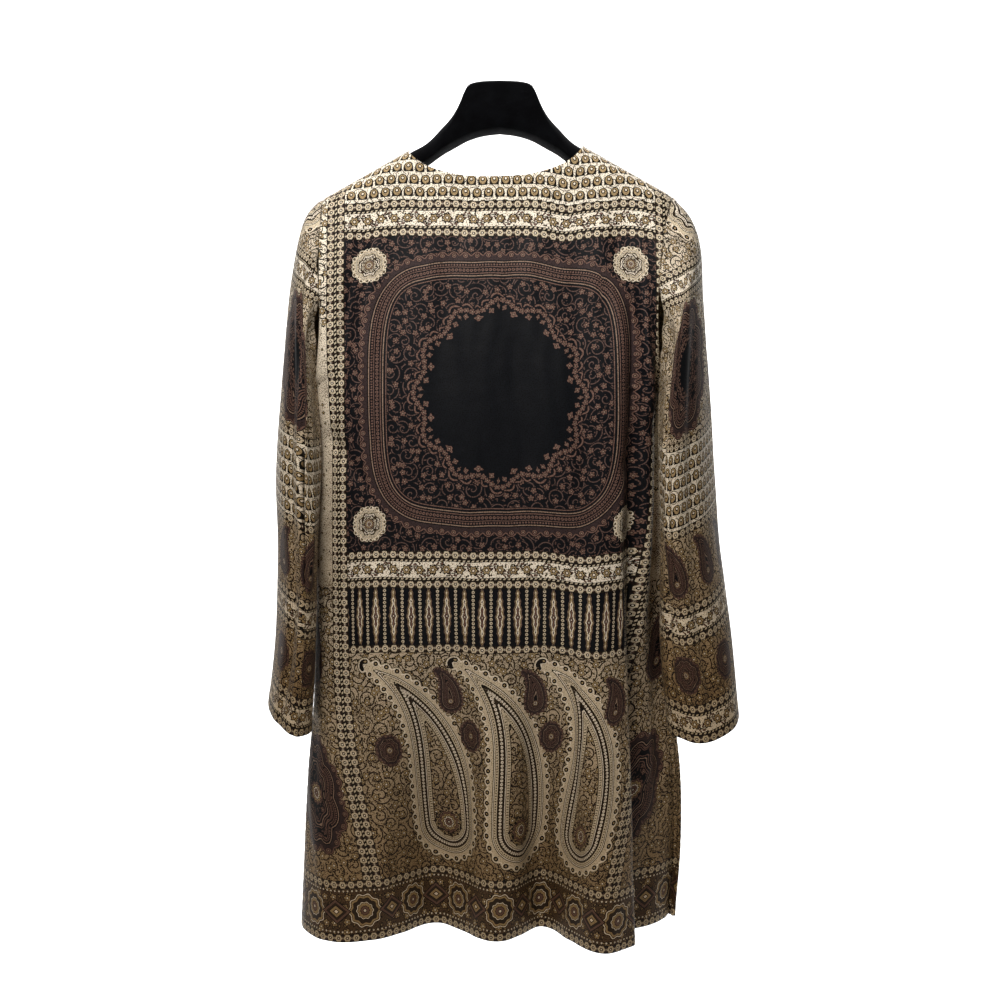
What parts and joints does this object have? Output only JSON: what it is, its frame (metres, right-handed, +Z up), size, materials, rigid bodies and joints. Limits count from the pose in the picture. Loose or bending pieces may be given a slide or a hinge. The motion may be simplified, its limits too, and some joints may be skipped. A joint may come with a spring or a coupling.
{
  "type": "kimono coat on a hanger",
  "caption": "Collarless open kimono-style coat of thin printed satin with long set-in sleeves, hanging on a wide-shouldered flocked hanger.",
  "frame": {"origin": "the middle of the hanger's crown, where the hanger is held", "axes": "+Z up, +Y towards the back of the coat, which the picture shows, +X towards the wearer's left"},
  "size_m": [0.5358, 0.1738, 0.9798],
  "materials": {
    "printed_satin": "thin satin with an all-over printed shawl-style pattern and a soft sheen",
    "flocked_plastic": "black velvet flocking"
  },
  "bodies": {
    "root": {"back": "printed_satin", "front_left": "printed_satin", "front_right": "printed_satin", "sleeve_left": "printed_satin", "sleeve_right": "printed_satin", "hanger": "flocked_plastic"}
  },
  "joints": []
}
